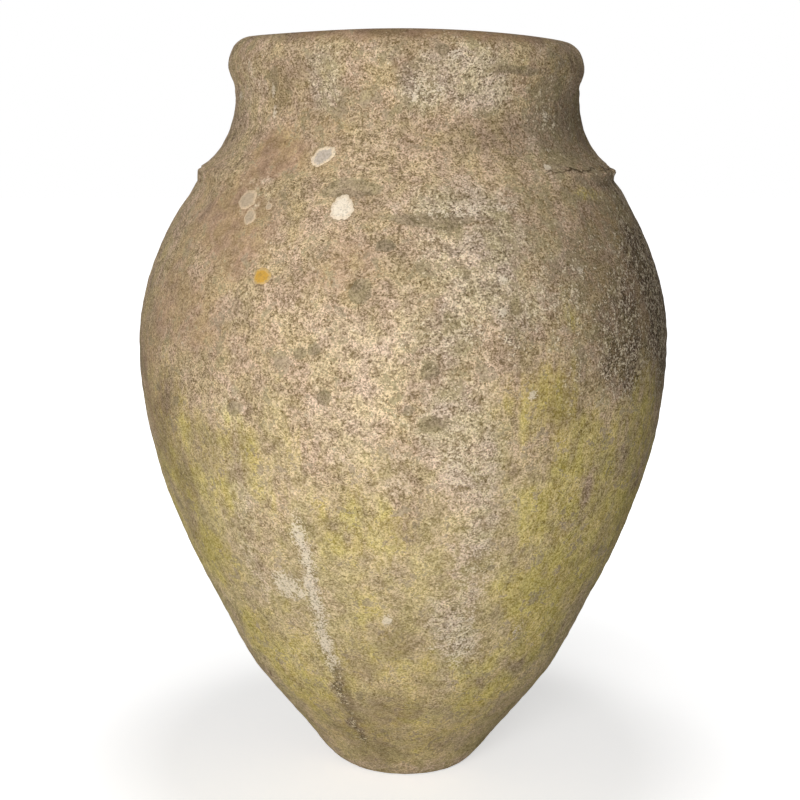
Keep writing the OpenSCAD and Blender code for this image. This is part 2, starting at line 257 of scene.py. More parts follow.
class JarColours(bpy.types.PropertyGroup):
    """The colours of the clay, of what grows on it, and of the shade painted on it."""

    clay_dark: tone("dark grains of the clay", 142, 120, 85)
    clay_light: tone("pale grains of the clay", 228, 203, 167)
    rust_dark: tone("dark grains of the warm stain", 163, 134, 101)
    rust_light: tone("pale grains of the warm stain", 192, 162, 127)
    grey_dark: tone("dark grains of the grey weathering", 140, 123, 98)
    grey_light: tone("pale grains of the grey weathering", 229, 212, 182)
    crust_dark: tone("dark grains of the cream crust", 163, 141, 111)
    crust_light: tone("pale grains of the cream crust", 240, 217, 182)
    damp_dark: tone("dark grains of the damp lower wall", 160, 141, 95)
    damp_light: tone("pale grains of the damp lower wall", 225, 205, 160)
    algae_dark: tone("dark grains under the algae", 166, 147, 68)
    algae_light: tone("pale grains under the algae", 221, 204, 134)
    ochre_dark: tone("dark grains of the ochre stain", 156, 133, 80)
    ochre_light: tone("pale grains of the ochre stain", 218, 196, 144)
    # The soot colours also paint the shade down the right side of the jar.
    soot_dark: tone("dark grains of the sooty side", 88, 75, 56)
    soot_light: tone("pale grains of the sooty side", 158, 140, 114)
    olive_dark: tone("dark grains of the olive film", 126, 111, 82)
    olive_light: tone("pale grains of the olive film", 174, 157, 124)
    chalk: tone("chalky deposit", 236, 222, 198)
    fleck: tone("whitish flecks", 242, 227, 198)
    pore: tone("dark grains of the clay inside the jar", 112, 92, 70)
    pit: tone("shade in the pores of the clay", 156, 145, 108)
    # The grime colour also darkens the painted shade along the top of the rim.
    grime: tone("film of grime over the clay", 169, 160, 149)
    crack_shade: tone("cracks along the band", 84, 68, 46)
    # Painted shade in the crack along the band.
    inner_clay: tone("clay inside the jar", 158, 128, 98)
    grey_lichen: tone("middle of the grey lichen", 200, 186, 170)
    grey_lichen_rim: tone("rim of the grey lichen", 240, 220, 190)
    beige_lichen: tone("middle of the beige lichen", 192, 172, 146)
    beige_lichen_rim: tone("rim of the beige lichen", 216, 192, 160)
    cream_lichen: tone("middle of the cream lichen", 244, 230, 208)
    cream_lichen_rim: tone("rim of the cream lichen", 240, 222, 196)
    orange_lichen: tone("middle of the orange lichen", 208, 162, 72)
    orange_lichen_rim: tone("rim of the orange lichen", 210, 176, 116)


class JarStage(bpy.types.PropertyGroup):
    """The light, the floor and the camera."""

    key_power: FloatProperty(
        name="Key light", description="Power of the large soft light in front", default=63.5, unit="POWER")
    top_power: FloatProperty(
        name="Top light", description="Power of the soft light overhead", default=54, unit="POWER")
    ambient: FloatProperty(name="Ambient", description="Strength of the light all round", default=0.15)
    floor_size: FloatProperty(
        name="Floor", description="Width of the floor", default=24, subtype="DISTANCE")
    camera_distance: FloatProperty(
        name="Camera distance", description="From the camera to the jar's axis", default=1.9,
        subtype="DISTANCE")
    camera_height: FloatProperty(
        name="Camera height", description="Above the floor", default=0.819, subtype="DISTANCE")
    camera_pitch: FloatProperty(
        name="Camera pitch", description="Angle that the camera looks down", default=math.radians(10.738),
        subtype="ANGLE")


def eased(value, start, stop):
    """Smooth step from 0 at start to 1 at stop."""
    part = np.clip((value - start) / (stop - start), 0, 1)
    return part * part * (3 - 2 * part)


def hump(value, middle, half_width):
    """Bell curve: 1 at the middle, about a third one half width away."""
    return np.exp(-((value - middle) / half_width) ** 2)


def turned_by(angle, azimuth):
    """Signed turn in radians from an azimuth in degrees to an angle, the short way round."""
    return (angle - math.radians(azimuth) + math.pi) % (2 * math.pi) - math.pi


def lattice_noise(points, size, seed):
    """Noise from -1 to 1: random values at the corners of cubes of that size, eased from corner to corner."""
    table = np.random.default_rng(seed).uniform(-1, 1, (32, 32, 32))
    cell = points / size + 100
    low = np.floor(cell).astype(int)
    part = cell - low
    ease = part * part * (3 - 2 * part)
    total = np.zeros(points.shape[:-1])
    for corner in np.ndindex(2, 2, 2):
        weight = np.prod(np.abs(1 - np.array(corner) - ease), axis=-1)
        index = (low + np.array(corner)) % 32
        total += weight * table[index[..., 0], index[..., 1], index[..., 2]]
    return total


def layered_noise(points, size, layers, seed):
    """Sum of noises, each half as coarse and half as high as the one before."""
    return sum(lattice_noise(points, size / 2 ** n, seed + n) / 2 ** n for n in range(layers))


def up(knot):
    lean = math.radians(knot.lean)
    return np.array([math.sin(lean), math.cos(lean)])


def into(knot):
    lean = math.radians(knot.lean)
    return np.array([-math.cos(lean), math.sin(lean)])


def place(knot):
    return np.array([knot.radius, knot.height])


def inner_end(knot):
    return place(knot) + knot.wall * into(knot)


def curve(a, b, part):
    """Cubic curve that leaves knot a and reaches knot b along their leans, and its direction."""
    handle = np.linalg.norm(place(b) - place(a)) / 3
    ends = [place(a), place(a) + handle * up(a), place(b) - handle * up(b), place(b)]
    t = part[:, None]
    along = ((1 - t) ** 3 * ends[0] + 3 * t * (1 - t) ** 2 * ends[1]
             + 3 * t * t * (1 - t) * ends[2] + t ** 3 * ends[3])
    slope = ((1 - t) ** 2 * (ends[1] - ends[0]) + 2 * t * (1 - t) * (ends[2] - ends[1])
             + t * t * (ends[3] - ends[2]))
    return along, slope / np.linalg.norm(slope, axis=1)[:, None]


def behind(a, b, part):
    """Points behind that curve, at the wall's thickness, which changes evenly from knot to knot."""
    along, slope = curve(a, b, part)
    wall = a.wall + part[:, None] * (b.wall - a.wall)
    return along + wall * np.stack([-slope[:, 1], slope[:, 0]], axis=1)


def ridge(a, b, part):
    """Crest of the ridge along the middle of the joint there."""
    at = np.array([float(part)])
    along, slope = curve(a, b, at)
    return ((along + behind(a, b, at)) / 2 + JOINT_RIDGE * slope)[0]


def steps(a, b, start, stop, spacing):
    """Evenly spread parts of the curve from knot a to b, about that far apart on it."""
    length = np.linalg.norm(place(b) - place(a)) * (stop - start)
    return np.linspace(start, stop, max(3, int(math.ceil(length / spacing)) + 1))


def line(start, stop, count):
    """Points on a straight line, both ends included."""
    part = np.linspace(0, 1, count)[:, None]
    return np.array(start) * (1 - part) + np.array(stop) * part


def faced(points, face):
    """Adds to each radius and height how far the point belongs to the outer face (1) or the inner one (0)."""
    points = np.atleast_2d(points)
    return np.column_stack([points, np.broadcast_to(face, len(points))])


def joined(*stretches):
    """One list of rows from several stretches, without the points that repeat the one before."""
    rows = np.concatenate(stretches)
    apart = np.linalg.norm(np.diff(rows[:, :2], axis=0), axis=1) > 1e-7
    return rows[np.concatenate([[True], apart])]


def round_grid():
    shape = bpy.context.scene.jar_shape
    coarse = 1
    return shape.cells_round // coarse, shape.cell_height * coarse, shape.cell_height * 2.4 * coarse


def outer_profile():
    """Radius of the CAD's outer face against height, for placing things on it."""
    whole = np.linspace(0, 1, 200)
    edge = np.radians(np.linspace(0, 90, 8))
    corner = np.array([SHOULDER.radius - BAND_EDGE, BAND_CORNER])
    stretches = [curve(a, b, whole)[0] for a, b in (
        (FOOT, SLAB), (SLAB, FOOT_TOP), (FOOT_TOP, LOWER_TOP), (LOWER_TOP, BELLY), (BELLY, SHOULDER))]
    stretches.append(corner + BAND_EDGE * np.column_stack([np.cos(edge), np.sin(edge)]))
    stretches.append(curve(NECK_FOOT, WAIST, whole)[0])
    stretches.append(np.array([CREASE, (RIM_RADIUS, ROLL_HEIGHT)]))
    return np.concatenate(stretches)


PROFILE = outer_profile()


def radius_at(height):
    return np.interp(height, PROFILE[:, 1], PROFILE[:, 0])


def flowing_radius(height):
    """The shoulder flowing into the neck with no ledge: a cubic across the band that meets both in slope."""
    low, high = 0.700, 0.780
    reach = high - low
    ends = radius_at(np.array([low, high]))
    slopes = (radius_at(np.array([low, high]) + 0.001) - radius_at(np.array([low, high]) - 0.001)) / 0.002
    t = np.clip((height - low) / reach, 0, 1)
    smooth = ((1 + 2 * t) * (1 - t) ** 2 * ends[0] + t * (1 - t) ** 2 * reach * slopes[0]
              + t * t * (3 - 2 * t) * ends[1] + t * t * (t - 1) * reach * slopes[1])
    return np.where((height > low) & (height < high), smooth, radius_at(height))


def ledge_share(angle):
    """How much of the band's ledge is left round the jar: all at the sides, little across the front."""
    turn = np.degrees(turned_by(angle, 0))
    front = 0.30 + 0.70 * eased(-turn, 44, 64) + 0.70 * eased(turn, 42, 60)
    back = 0.75 + 0.25 * np.sin(3 * angle + 1)
    return np.where(np.abs(turn) < 110, np.minimum(front, 1), 1 + (back - 1) * eased(np.abs(turn), 110, 140))


def torn_share(angle):
    """Where the band has cracked away from the neck: the right side, and a short stretch at the back."""
    turn = np.degrees(turned_by(angle, 0))
    return eased(turn, 52, 64) * (1 - eased(turn, 98, 112)) + 0.7 * hump(turn, -150, 14)


def skin_push(angle, height, point):
    """How far the outer face stands out from the CAD's, in metres: waves, grit, joints, pits and the seam."""
    shape = bpy.context.scene.jar_shape
    push = shape.wave_height * layered_noise(point, 0.12, 2, 11)
    push += 0.3 * shape.wave_height * layered_noise(point, 0.034, 2, 21)
    push += shape.grit_height * layered_noise(point, 0.0075, 2, 31)
    push += 0.0018 * np.sin(2 * angle)
    rings = np.sin(2 * math.pi * height / 0.021 + 2.2 * lattice_noise(point, 0.2, 41))
    push += 0.00022 * rings * (0.5 + 0.5 * lattice_noise(point, 0.15, 42))
    worn = 0.5 + 0.5 * lattice_noise(point, 0.09, 43)
    for joint in (FOOT_TOP.height, LOWER_TOP.height, 0.383, BELLY.height):
        push -= 0.0007 * worn * hump(height, joint, 0.004)
        push += 0.0004 * worn * hump(height, joint + 0.012, 0.010)
    for azimuth, level, radius, depth in PITS:
        across = turned_by(angle, azimuth) * radius_at(level)
        push -= depth * np.exp(-(across ** 2 + (height - level) ** 2) / radius ** 2)
    flow = flowing_radius(height) - radius_at(height)
    push += (1 - ledge_share(angle)) * flow
    radius = np.hypot(point[..., 0], point[..., 1])
    bead = WAIST.radius + (RIM_RADIUS - WAIST.radius) * eased(height, 0.836, ROLL_HEIGHT + 0.002)
    soft = 0.85 * (np.abs(radius - radius_at(height)) < 0.004) * (height > 0.836) * (height < ROLL_HEIGHT + 0.002)
    push += soft * (bead - radius)
    torn = torn_share(angle)
    ragged = layered_noise(point * np.array([1, 1, 0.3]), 0.010, 3, 51)
    push += torn * 0.0016 * (0.8 + 2.2 * ragged) * hump(height, BAND_CORNER + 0.001, 0.0040)
    push -= torn * 0.0034 * (0.8 + 0.6 * ragged) * hump(height, NECK_FOOT.height, 0.0020)
    push -= 0.0016 * hump(height, 0.715, 0.012) * ledge_share(angle) * (1 - 2.0 * torn)
    crumble = layered_noise(point, 0.016, 2, 61)
    push -= 0.0012 * ledge_share(angle) * np.clip(crumble, 0, 1) * hump(height, BAND_CORNER, 0.005)
    return push


def inner_push(angle, height, point):
    """How far the inner face stands in or out: finger ridges left from building the wall, and slow waves."""
    ridges = np.sin(2 * math.pi * height / 0.027 + 3 * lattice_noise(point, 0.16, 71) + angle)
    return 0.0007 * ridges + 0.0014 * layered_noise(point, 0.09, 2, 72) + 0.0002 * lattice_noise(point, 0.007, 74)


def slump(angle, height):
    """How far the clay has moved down or up: the seam sags across the front, and the rim isn't level."""
    shape = bpy.context.scene.jar_shape
    turn = np.degrees(turned_by(angle, 0))
    dip = (1.1 * hump(turn, -31, 13) + 0.35 * hump(turn, -8, 10) + 1.0 * hump(turn, 7, 11)
           + 0.45 * hump(turn, 23, 12) + 0.8 * hump(np.abs(turn), 180, 40))
    near_seam = eased(height, 0.60, 0.72) * (1 - eased(height, 0.75, 0.81))
    lip = shape.rim_rise * hump(turn, -8, 46) - 0.0022 * np.sin(angle) + 0.0012 * np.sin(3 * angle + 0.6)
    lip += 0.003 * hump(np.abs(turn), 180, 50)
    return lip * eased(height, 0.825, 0.875) - shape.seam_sag * dip * near_seam


def drift(height):
    """How far the jar's middle line stands to the right of its axis at each height."""
    return np.interp(height, [0, 0.15, 0.5, 0.74, 0.83, 0.86, 0.9], [-0.0012, -0.0012, -0.0018, 0.0018, 0.0036, 0.002, 0.0018])


def moved(rows, angles):
    """The grid of points for rows of radius, height and face, at those angles round the jar."""
    radius, height, face = (rows[:, n][:, None] + 0 * angles for n in range(3))
    angle = angles[None, :] + 0 * radius
    point = np.stack([radius * np.sin(angle), -radius * np.cos(angle), height], axis=-1)
    push = np.zeros_like(radius)
    outside = rows[:, 2] > 0
    inside = rows[:, 2] < 1
    push[outside] += face[outside] * skin_push(angle[outside], height[outside], point[outside])
    push[inside] += (1 - face[inside]) * inner_push(angle[inside], height[inside], point[inside])
    push *= np.clip(radius / 0.05, 0, 1)
    radius = radius + push
    height = height + slump(angle, height) * (height > 0.5)
    return np.stack([radius * np.sin(angle) + drift(height), -radius * np.cos(angle), height], axis=-1)


def skin_at(angle, height, lift):
    """Points on the outer face at any angles and heights, lifted off it radially."""
    radius = radius_at(height)
    point = np.stack([radius * np.sin(angle), -radius * np.cos(angle), height], axis=-1)
    radius = radius + skin_push(angle, height, point) + lift
    level = height + slump(angle, height)
    return np.stack([radius * np.sin(angle) + drift(level), -radius * np.cos(angle), level], axis=-1)


def run_cover(angle, height, points, half_width):
    """A run down the lower wall: 1 along the line through its points, falling off a few millimetres away."""
    azimuths, levels = np.array(points).T
    middle = np.interp(-height, -levels, np.radians(azimuths))
    wander = 0.002 * np.sin(height / 0.011) + 0.0015 * np.sin(height / 0.0047 + 1)
    across = (turned_by(angle, 0) - middle) * radius_at(height) + wander
    ends = eased(height, levels[-1] - 0.015, levels[-1] + 0.010)
    ends = ends * (1 - eased(height, levels[0] - 0.030, levels[0] + 0.010))
    broken = 0.80 + 0.20 * np.sin(height / 0.0065) * np.sin(height / 0.017 + 2)
    return hump(across, 0, half_width) * ends * broken


def crack_shade_cover(angle, height, point):
    """Painted shade in a jagged crack where the band has torn off the neck, and in short drag marks slanting down from
    it.
    """
    jagged = 0.0034 * layered_noise(point * np.array([1, 1, 0.2]), 0.007, 2, 81)
    line_height = NECK_FOOT.height - 0.001 + jagged
    along = angle * SHOULDER.radius
    marks = hump((along + 0.8 * (height - 0.735)) % 0.023, 0.010, 0.0020) * hump(height, 0.736, 0.009)
    worn = eased(lattice_noise(point, 0.03, 82), -0.4, 0.3)
    turn = np.degrees(turned_by(angle, 0))
    share = eased(turn, 32, 44) * (1 - eased(turn, 98, 112)) + 0.7 * hump(turn, -150, 14)
    return share * np.maximum((0.75 + 0.25 * worn) * hump(height, line_height, 0.0013), (0.4 + 0.4 * worn) * marks)


def growth(kind, angle, height, point, number):
    """Cover of one kind of growth, 0 to 1: its blots on the front, with ragged edges, and noise round the back."""
    ragged = 0.40 * layered_noise(point * np.array([1, 1, 0.7]), 0.045, 4, 100 + 10 * number)
    cover = np.zeros_like(angle)
    for azimuth, level, half_width, half_height, strength in BLOTS[kind]:
        across = turned_by(angle, azimuth) * radius_at(level) / half_width
        away = np.sqrt(across ** 2 + ((height - level) / half_height) ** 2) + ragged
        cover = np.maximum(cover, strength * (1 - eased(away, 0.25, 1.40)))
    turn = np.abs(np.degrees(turned_by(angle, 0)))
    start, reach, low, high = BACK[kind]
    field = layered_noise(point, reach, 3, 200 + 10 * number)
    band = eased(height, low - 0.05, low + 0.05) * (1 - eased(height, high - 0.05, high + 0.05))
    back = 0.9 * eased(field, start, start + 0.5) * band * eased(turn, 85, 118)
    return np.maximum(cover * (1 - eased(turn, 95, 130)), back)


# How each kind of growth spreads round the back: threshold, size of its patches, lowest and highest level.
BACK = {
    "crust": (0.00, 0.16, 0.25, 0.90), "algae": (-0.10, 0.20, 0.00, 0.50), "soot": (0.15, 0.18, 0.45, 0.80),
    "rust": (0.10, 0.20, 0.30, 0.90), "chalk": (0.70, 0.07, 0.10, 0.90), "olive": (0.50, 0.03, 0.10, 0.90),
    "ochre": (0.35, 0.10, 0.20, 0.90), "grime": (0.30, 0.14, 0.00, 0.90), "grey": (0.00, 0.18, 0.40, 0.92),
    "damp": (-0.80, 0.20, 0.00, 0.38),
}


def paint(mesh, rows, angles):
    """Writes the cover of each growth, and where the inner clay starts, into attributes of the mesh."""
    radius, height, face = (rows[:, n][:, None] + 0 * angles for n in range(3))
    angle = angles[None, :] + 0 * radius
    point = np.stack([radius * np.sin(angle), -radius * np.cos(angle), height], axis=-1)
    covers = {kind: face * growth(kind, angle, height, point, n) for n, kind in enumerate(sorted(BLOTS))}
    drip = run_cover(angle, height, DRIP, 0.0080)
    dark_run = run_cover(angle, height, DARK_RUN, 0.0105)
    covers["chalk"] = np.maximum(covers["chalk"], 0.95 * drip)
    covers["grey"] = np.maximum(covers["grey"], drip)
    covers["soot"] = np.maximum(covers["soot"], 0.85 * dark_run)
    covers["algae"] = covers["algae"] * (1 - np.maximum(drip, dark_run))
    # The flat underside is made darker.
    covers["grime"] = np.maximum(covers["grime"], np.where(height < 0.001, 0.7, 0))
    # Painted shade in the crack along the band and its drag marks.
    covers["crack_shade"] = face * crack_shade_cover(angle, height, point)
    covers["inside"] = 1 - face
    for kind, cover in covers.items():
        layer = mesh.attributes.new(kind, "FLOAT", "POINT")
        values = cover.ravel()
        spare = len(mesh.vertices) - len(values)
        layer.data.foreach_set("value", np.concatenate([values, np.full(spare, values[-1])]).astype(np.float32))


def cells(grid, poles=False):
    """Points and faces of a grid that closes round; it closes on itself, or at a pole at each end."""
    rows, count = grid.shape[:2]
    ring = np.arange(rows * count).reshape(rows, count)
    low = ring[:-1] if poles else ring
    high = ring[1:] if poles else np.roll(ring, -1, axis=0)
    quads = np.stack([low, np.roll(low, -1, axis=1), np.roll(high, -1, axis=1), high], axis=-1).reshape(-1, 4)
    points = grid.reshape(-1, 3)
    corners = quads.ravel()
    starts = np.arange(len(quads)) * 4
    if poles:
        first, last = len(points), len(points) + 1
        points = np.concatenate([points, [grid[0].mean(axis=0), grid[-1].mean(axis=0)]])
        bottom = np.stack([np.full(count, first), np.roll(ring[0], -1), ring[0]], axis=-1)
        top = np.stack([ring[-1], np.roll(ring[-1], -1), np.full(count, last)], axis=-1)
        caps = np.concatenate([bottom, top])
        starts = np.concatenate([starts, len(corners) + np.arange(len(caps)) * 3])
        corners = np.concatenate([corners, caps.ravel()])
    return points, corners, starts


def skin_mesh(name, parts):
    """One smooth mesh from the points and faces of one or several grids."""
    counts = np.array([[len(points), len(corners)] for points, corners, _ in parts])
    before = np.cumsum(counts, axis=0) - counts
    points = np.concatenate([part[0] for part in parts])
    corners = np.concatenate([part[1] + first for part, (first, _) in zip(parts, before)])
    starts = np.concatenate([part[2] + first for part, (_, first) in zip(parts, before)])
    mesh = bpy.data.meshes.new(name)
    mesh.vertices.add(len(points))
    mesh.vertices.foreach_set("co", points.ravel())
    mesh.loops.add(len(corners))
    mesh.loops.foreach_set("vertex_index", corners)
    mesh.polygons.add(len(starts))
    mesh.polygons.foreach_set("loop_start", starts)
    mesh.polygons.foreach_set("use_smooth", np.ones(len(starts), dtype=bool))
    mesh.update(calc_edges=True)
    mesh.validate()
    mesh.set_sharp_from_angle(angle=math.radians(55))
    return mesh


def add_piece(name, mesh, material, node=None):
    """Puts a mesh in the scene as a piece that rides on the jar, and hides the CAD node it stands for."""
    mesh.materials.append(material)
    piece = bpy.data.objects.new(name, mesh)
    bpy.context.scene.collection.objects.link(piece)
    if node:
        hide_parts(node)
    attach(piece, "root")
    return piece


def add_ring(node, rows, material, poles=False):
    """Makes the piece that stands for a CAD node from the rows of its cut."""
    count = round_grid()[0]
    angles = np.arange(count) * 2 * math.pi / count
    mesh = skin_mesh(node + "_skin", [cells(moved(rows, angles), poles)])
    paint(mesh, rows, angles)
    return add_piece(node + "_skin", mesh, material, node)


def wall_rows(a, b, start=0.0, stop=1.0):
    """The cut through a section of wall between two joints: up the outside and down the inside."""
    _, fine, coarse = round_grid()
    outside = curve(a, b, steps(a, b, start, stop, fine))[0]
    inside = behind(a, b, steps(a, b, start, stop, coarse))[::-1]
    return joined(
        faced(outside, 1), faced(ridge(a, b, stop), 0.5), faced(inside, 0), faced(ridge(a, b, start), 0.5))


def slab_rows():
    """The cut through the slab, from the middle of its underside round the worn edge to the middle of its top."""
    _, fine, coarse = round_grid()
    turn = np.radians(np.linspace(-90, -58, 6))
    edge = [UNDERSIDE_RADIUS, WORN_EDGE] + WORN_EDGE * np.column_stack([np.cos(turn), np.sin(turn)])
    wall = curve(FOOT, SLAB, steps(FOOT, SLAB, 0, 1, fine))[0]
    wall_foot = SLAB.radius - SLAB.wall
    top = line(wall[-1], (0.004, SLAB.height), 14)
    return joined(
        faced(line((0.004, 0), (UNDERSIDE_RADIUS, 0), 14), 1), faced(edge, 1), faced(wall, 1),
        faced(top, np.clip((top[:, 0] - wall_foot) / SLAB.wall, 0, 1)))


def foot_rows():
    """The cut through the foot section, which stands flat on the slab and is straight inside."""
    _, fine, coarse = round_grid()
    outside = curve(SLAB, FOOT_TOP, steps(SLAB, FOOT_TOP, 0, 1, fine))[0]
    wall_foot = (SLAB.radius - SLAB.wall, SLAB.height)
    inside = line(inner_end(FOOT_TOP), wall_foot, 20)
    under = line(wall_foot, place(SLAB), 5)
    return joined(
        faced(outside, 1), faced(ridge(SLAB, FOOT_TOP, 1), 0.5), faced(inside, 0),
        faced(under[:-1], np.linspace(0, 1, 5)[:-1]))


def coil_rows():
    """The cut through the coil in the corner, whose face is a quadratic curve pulled towards the corner."""
    corner = np.array([SLAB.radius - SLAB.wall, SLAB.height])
    rise = inner_end(FOOT_TOP) - corner
    on_wall = corner + COIL_WIDTH * rise / np.linalg.norm(rise)
    on_slab = corner - [COIL_WIDTH, 0]
    pull = (on_wall + on_slab) / 4 + corner / 2
    t = np.linspace(0, 1, 9)[:, None]
    face = (1 - t) ** 2 * on_wall + 2 * t * (1 - t) * pull + t * t * on_slab
    return joined(faced(line(corner, on_wall, 5), 0), faced(face, 0), faced(line(on_slab, corner, 5)[:-1], 0))


def shoulder_rows():
    """The cut through the shoulder, whose top edge is plain and carries the band and the neck."""
    _, fine, coarse = round_grid()
    outside = curve(BELLY, SHOULDER, steps(BELLY, SHOULDER, 0, 1, fine))[0]
    inside = behind(BELLY, SHOULDER, steps(BELLY, SHOULDER, 0, 1, coarse))[::-1]
    root = place(SHOULDER) + BAND_DEPTH * into(SHOULDER)
    share = 1 - BAND_DEPTH / SHOULDER.wall
    return joined(
        faced(outside, 1), faced(root, share), faced(inside, 0), faced(ridge(BELLY, SHOULDER, 0), 0.5))


def band_rows():
    """The cut through the band of clay in the angle between the shoulder's edge and the neck."""
    turn = np.radians(np.linspace(0, 90, 7))
    middle = place(SHOULDER) + [-BAND_EDGE, BAND_HEIGHT - BAND_EDGE]
    edge = middle + BAND_EDGE * np.column_stack([np.cos(turn), np.sin(turn)])
    root = place(SHOULDER) + BAND_DEPTH * into(SHOULDER)
    share = 1 - BAND_DEPTH / SHOULDER.wall
    return joined(
        faced(line(place(SHOULDER), edge[0], 6), 1), faced(edge, 1), faced(line(edge[-1], place(NECK_FOOT), 4), 1),
        faced(root, share))


def neck_rows():
    """The cut through the neck: its curve out of the band to the crease, and the inner curve and wall."""
    _, fine, coarse = round_grid()
    root = place(SHOULDER) + BAND_DEPTH * into(SHOULDER)
    share = 1 - BAND_DEPTH / SHOULDER.wall
    inner_foot = Knot(*inner_end(SHOULDER), NECK_FOOT.lean, 0)
    near_band = np.linspace(0, 0.12, 8)
    outside = curve(NECK_FOOT, WAIST, np.concatenate([near_band, steps(NECK_FOOT, WAIST, 0.14, 1, fine)]))[0]
    crown = line(CREASE, (MOUTH_FOOT.radius, CREASE[1]), 4)
    inside = curve(inner_foot, MOUTH_FOOT, steps(inner_foot, MOUTH_FOOT, 0, 1, coarse))[0][::-1]
    return joined(
        faced(root, share), faced(outside, 1), faced(line(outside[-1], CREASE, 8), 1),
        faced(crown, np.linspace(1, 0, 4)), faced(line(crown[-1], place(MOUTH_FOOT), 8), 0), faced(inside, 0))


def rim_rows():
    """The cut through the rolled rim: quarter ellipses under it, over it to the crest, and into the mouth."""
    quarter = np.radians(np.linspace(0, 90, 30))[:, None]
    under = np.array(CREASE) + [RIM_RADIUS - CREASE[0], ROLL_HEIGHT - CREASE[1]] * np.hstack(
        [np.sin(quarter[::4]), 1 - np.cos(quarter[::4])])
    over = [CREST[0], ROLL_HEIGHT] + [RIM_RADIUS - CREST[0], CREST[1] - ROLL_HEIGHT] * np.hstack(
        [np.cos(quarter), np.sin(quarter)])
    lip = [CREST[0], MOUTH_TOP] + [MOUTH_FOOT.radius - CREST[0], CREST[1] - MOUTH_TOP] * np.hstack(
        [np.sin(quarter[::3]), np.cos(quarter[::3])])
    mouth = line((MOUTH_FOOT.radius, MOUTH_TOP), (MOUTH_FOOT.radius, CREASE[1]), 9)
    crown = line(mouth[-1], CREASE, 4)
    return joined(
        faced(under, 1), faced(over, 1), faced(lip, np.linspace(1, 0.4, len(lip))),
        faced(mouth, np.linspace(0.4, 0, 9)), faced(crown[:-1], np.linspace(0, 1, 4)[:-1]))


def rosette_mesh(name, crusts, thickness, rim, seed):
    """Lichen crusts as closed lenses on a polar grid: lobed outlines, a raised rim, and a hidden underside.

    A crust reaches its half length and half width times 1 plus a sum of sines of the turn, and its
    distance from the middle, 0 to 1, goes into an attribute.
    """
    chance = np.random.default_rng(seed)
    rings = 14
    spread = np.concatenate([np.linspace(0.05, 1, rings), np.linspace(0.96, 0.05, 5)])[::-1, None]
    under = np.arange(len(spread))[::-1, None] >= rings
    turn = np.arange(96) * 2 * math.pi / 96
    parts = []
    for azimuth, level, half_length, half_width, tilt in crusts:
        lobes = sum(
            chance.uniform(0.4, 1.0) * size * np.sin(n * turn + chance.uniform(0, 2 * math.pi))
            for n, size in ((2, 0.05), (3, 0.05), (5, 0.04), (8, 0.04), (13, 0.035), (21, 0.03)))
        along = spread * half_length * (1 + lobes) * np.cos(turn)
        aside = spread * half_width * (1 + lobes) * np.sin(turn)
        lean = math.radians(tilt)
        across = along * math.cos(lean) - aside * math.sin(lean)
        rise = along * math.sin(lean) + aside * math.cos(lean)
        angle = math.radians(azimuth) + across / radius_at(level)
        wrinkle = lattice_noise(np.stack([across, rise, 0 * across], axis=-1), 0.0026, seed + 1)
        top = thickness * ((1 - spread ** 6) * (1 + 0.45 * wrinkle) + rim * hump(spread, 0.86, 0.10)) - 0.0002
        parts.append(cells(skin_at(angle, level + rise, np.where(under, -0.0012, top)), poles=True))
    mesh = skin_mesh(name, parts)
    away = np.concatenate([np.repeat(spread.ravel(), len(turn)), spread[0], spread[-1]])
    layer = mesh.attributes.new("away", "FLOAT", "POINT")
    layer.data.foreach_set("value", np.tile(away, len(crusts)).astype(np.float32))
    return mesh


def node(tree, kind, inputs=None, **settings):
    """Adds a shader node, sets its settings, and gives each named or numbered input a value or a link."""
    made = tree.nodes.new(kind)
    for name, value in settings.items():
        setattr(made, name, value)
    for name, value in (inputs or {}).items():
        if isinstance(value, bpy.types.NodeSocket):
            tree.links.new(value, made.inputs[name])
        else:
            made.inputs[name].default_value = value
    return made


def noise(tree, where, scale, detail=2.0, roughness=0.6, distortion=0.0):
    return node(tree, "ShaderNodeTexNoise", {
        "Vector": where, "Scale": scale, "Detail": detail, "Roughness": roughness, "Distortion": distortion,
    }).outputs["Fac"]


def math_of(tree, operation, a, b=0.0):
    return node(tree, "ShaderNodeMath", {0: a, 1: b}, operation=operation).outputs[0]


def mixture(tree, weights, base=0.0):
    """Sum of values, each times its weight, plus a base."""
    total = base
    for value, weight in weights:
        scaled = math_of(tree, "MULTIPLY", value, weight)
        total = math_of(tree, "ADD", scaled, total)
    return total


def between(tree, value, low, high):
    """0 below low, 1 above high, eased in between."""
    return node(tree, "ShaderNodeMapRange", {"Value": value, "From Min": low, "From Max": high},
                interpolation_type="SMOOTHSTEP").outputs["Result"]


def blend(tree, share, under, over, way="MIX"):
    return node(tree, "ShaderNodeMix", {0: share, 6: under, 7: over}, data_type="RGBA", blend_type=way).outputs[2]


def stretched(tree, where, x, y, z):
    return node(tree, "ShaderNodeVectorMath", {0: where, 1: (x, y, z)}, operation="MULTIPLY").outputs[0]


def cover_of(tree, kind):
    return node(tree, "ShaderNodeAttribute", attribute_name=kind, attribute_type="GEOMETRY").outputs["Fac"]


def colour(name):
    return (*getattr(bpy.context.scene.jar_colours, name), 1.0)


def new_group(name, inputs, outputs):
    """An empty node group with those named sockets, its input node and its output node."""
    tree = bpy.data.node_groups.new(name, "ShaderNodeTree")
    for label, kind, value in inputs:
        socket = tree.interface.new_socket(label, in_out="INPUT", socket_type="NodeSocket" + kind)
        socket.default_value = value
    for label, kind in outputs:
        tree.interface.new_socket(label, in_out="OUTPUT", socket_type="NodeSocket" + kind)
    return tree, tree.nodes.new("NodeGroupInput").outputs, tree.nodes.new("NodeGroupOutput").inputs


